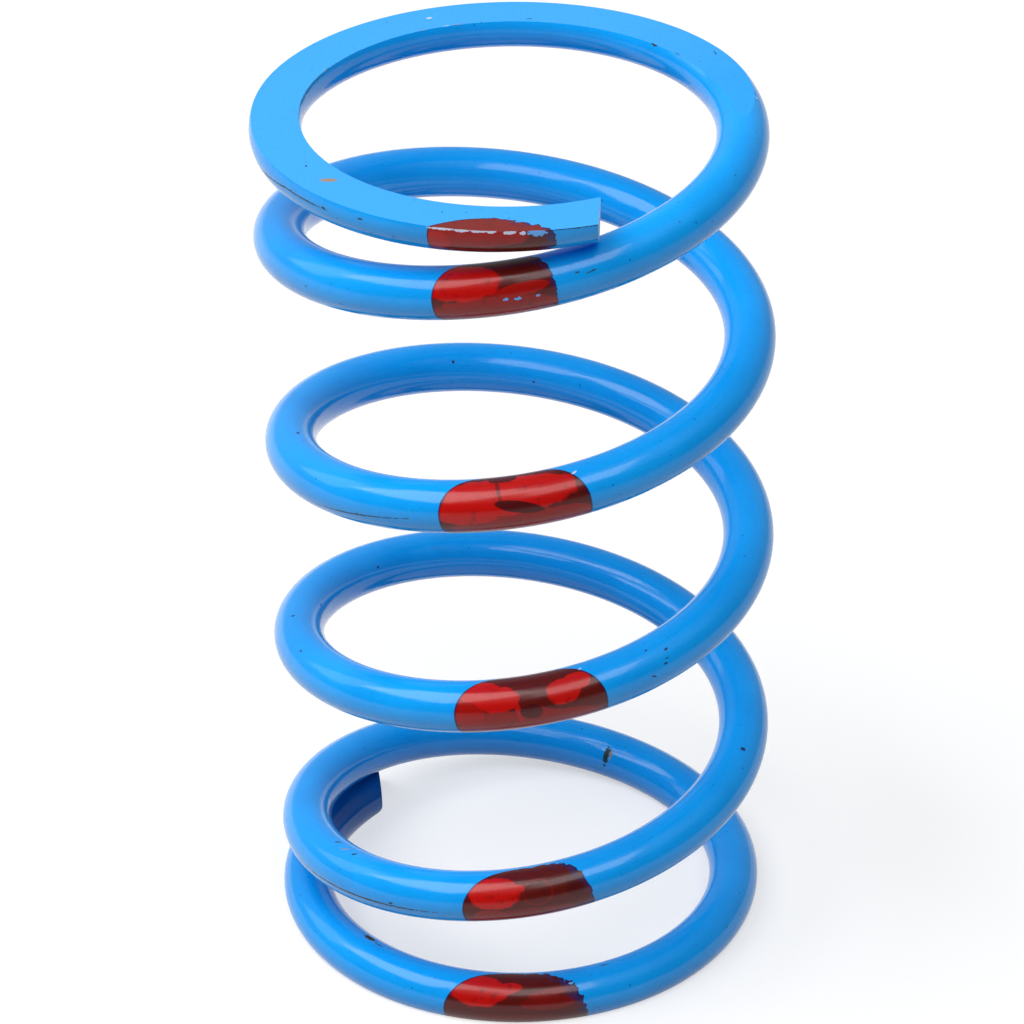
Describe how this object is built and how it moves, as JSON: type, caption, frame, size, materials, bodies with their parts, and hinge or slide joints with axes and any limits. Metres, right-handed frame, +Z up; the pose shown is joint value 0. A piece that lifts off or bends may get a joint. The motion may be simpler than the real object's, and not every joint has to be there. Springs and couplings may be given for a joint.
{
  "type": "primary spring",
  "caption": "Round-wire compression spring with closed and ground ends, blue gloss coat and a red paint dab on each turn.",
  "frame": {"origin": "centre of the bounding box's base, on the ground face that the spring stands on", "axes": "+Z up the coil's axis; +X to the right and -Y to the front, as the picture shows it"},
  "size_m": [0.0583, 0.058, 0.1034],
  "materials": {
    "blue_coat": "gloss blue coat over spring steel, with red paint dabs and small chips"
  },
  "bodies": {
    "root": {"spring_wire": "blue_coat"}
  },
  "joints": []
}
